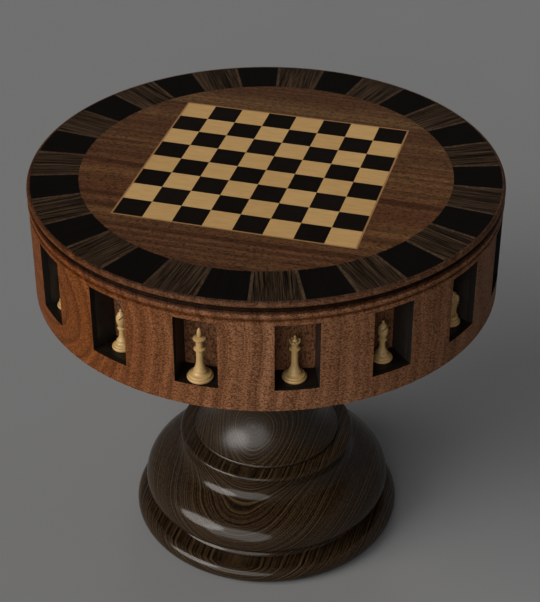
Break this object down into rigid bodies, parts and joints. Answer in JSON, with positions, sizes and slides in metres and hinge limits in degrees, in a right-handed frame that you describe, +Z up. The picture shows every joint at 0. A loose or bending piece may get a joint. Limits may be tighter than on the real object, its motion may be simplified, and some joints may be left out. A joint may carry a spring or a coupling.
{
  "type": "chess table with inlaid board",
  "caption": "Round pedestal table with a chess board inlaid in the top, a ring of alternating veneer segments, and display niches in the drum that hold chess figures.",
  "frame": {"origin": "On the floor under the middle of the table.", "axes": "+Z up; X and Y along the sides of the board; the light player sits at -Y."},
  "size_m": [0.8, 0.8, 0.72],
  "materials": {
    "walnut": "gloss lacquer, reddish brown figure",
    "boxwood": "semi-gloss, pale cream",
    "ebony": "gloss lacquer, near black",
    "zebrano": "gloss lacquer, dark streaks",
    "stringing": "gloss lacquer, tan",
    "black_lacquer": "high-gloss black lacquer",
    "dark_wood": "high-gloss lacquer, dark ringed grain",
    "rosewood": "semi-gloss, dark brown",
    "hidden_wood": "plain, unpolished",
    "steel": "plain zinc",
    "felt": "felt"
  },
  "bodies": {
    "table": {"top_core": "hidden_wood", "field_veneer": "walnut", "light_squares": "boxwood", "dark_squares": "ebony", "board_border": "stringing", "ebony_segments": "ebony", "zebrano_segments": "zebrano", "segment_stringing": "stringing", "edge_lipping": "walnut", "cove_moulding": "walnut", "bead_moulding": "walnut", "top_ledger": "hidden_wood", "apron_top_rail": "walnut", "apron_staves": "walnut", "apron_bottom_rail": "walnut", "niche_ceiling": "black_lacquer", "niche_backs": "walnut", "niche_sides": "black_lacquer", "niche_floor": "black_lacquer", "floor_ledger": "hidden_wood", "bearer_ribs": "hidden_wood", "hub_block": "hidden_wood", "bottom_board": "hidden_wood", "head_flange": "dark_wood", "flange_screws": "steel", "column": "dark_wood", "collar": "dark_wood", "bowl": "dark_wood", "riser": "dark_wood", "base_disc": "dark_wood", "tie_rod": "steel", "tie_washers": "steel", "tie_nuts": "steel", "felt_pads": "felt"},
    "light_left_rook": {"light_left_rook": "boxwood"},
    "light_left_knight": {"light_left_knight": "boxwood"},
    "light_left_bishop": {"light_left_bishop": "boxwood"},
    "light_king": {"light_king": "boxwood"},
    "light_queen": {"light_queen": "boxwood"},
    "light_right_bishop": {"light_right_bishop": "boxwood"},
    "light_right_knight": {"light_right_knight": "boxwood"},
    "light_right_rook": {"light_right_rook": "boxwood"},
    "dark_left_rook": {"dark_left_rook": "rosewood"},
    "dark_left_knight": {"dark_left_knight": "rosewood"},
    "dark_left_bishop": {"dark_left_bishop": "rosewood"},
    "dark_king": {"dark_king": "rosewood"},
    "dark_queen": {"dark_queen": "rosewood"},
    "dark_right_bishop": {"dark_right_bishop": "rosewood"},
    "dark_right_knight": {"dark_right_knight": "rosewood"},
    "dark_right_rook": {"dark_right_rook": "rosewood"}
  },
  "joints": [
    {"name": "light_left_rook_slide", "type": "slide", "parent": "table", "child": "light_left_rook", "axis": [-0.9239, -0.3827, 0], "range_m": [0, 0.024]},
    {"name": "light_left_knight_slide", "type": "slide", "parent": "table", "child": "light_left_knight", "axis": [-0.7071, -0.7071, 0], "range_m": [0, 0.024]},
    {"name": "light_left_bishop_slide", "type": "slide", "parent": "table", "child": "light_left_bishop", "axis": [-0.3827, -0.9239, 0], "range_m": [0, 0.024]},
    {"name": "light_king_slide", "type": "slide", "parent": "table", "child": "light_king", "axis": [0, -1, 0], "range_m": [0, 0.016]},
    {"name": "light_queen_slide", "type": "slide", "parent": "table", "child": "light_queen", "axis": [0.3827, -0.9239, 0], "range_m": [0, 0.024]},
    {"name": "light_right_bishop_slide", "type": "slide", "parent": "table", "child": "light_right_bishop", "axis": [0.7071, -0.7071, 0], "range_m": [0, 0.024]},
    {"name": "light_right_knight_slide", "type": "slide", "parent": "table", "child": "light_right_knight", "axis": [0.9239, -0.3827, 0], "range_m": [0, 0.024]},
    {"name": "light_right_rook_slide", "type": "slide", "parent": "table", "child": "light_right_rook", "axis": [1, 0, 0], "range_m": [0, 0.024]},
    {"name": "dark_left_rook_slide", "type": "slide", "parent": "table", "child": "dark_left_rook", "axis": [0.9239, 0.3827, 0], "range_m": [0, 0.024]},
    {"name": "dark_left_knight_slide", "type": "slide", "parent": "table", "child": "dark_left_knight", "axis": [0.7071, 0.7071, 0], "range_m": [0, 0.024]},
    {"name": "dark_left_bishop_slide", "type": "slide", "parent": "table", "child": "dark_left_bishop", "axis": [0.3827, 0.9239, 0], "range_m": [0, 0.024]},
    {"name": "dark_king_slide", "type": "slide", "parent": "table", "child": "dark_king", "axis": [0, 1, 0], "range_m": [0, 0.016]},
    {"name": "dark_queen_slide", "type": "slide", "parent": "table", "child": "dark_queen", "axis": [-0.3827, 0.9239, 0], "range_m": [0, 0.024]},
    {"name": "dark_right_bishop_slide", "type": "slide", "parent": "table", "child": "dark_right_bishop", "axis": [-0.7071, 0.7071, 0], "range_m": [0, 0.024]},
    {"name": "dark_right_knight_slide", "type": "slide", "parent": "table", "child": "dark_right_knight", "axis": [-0.9239, 0.3827, 0], "range_m": [0, 0.024]},
    {"name": "dark_right_rook_slide", "type": "slide", "parent": "table", "child": "dark_right_rook", "axis": [-1, 0, 0], "range_m": [0, 0.024]}
  ]
}
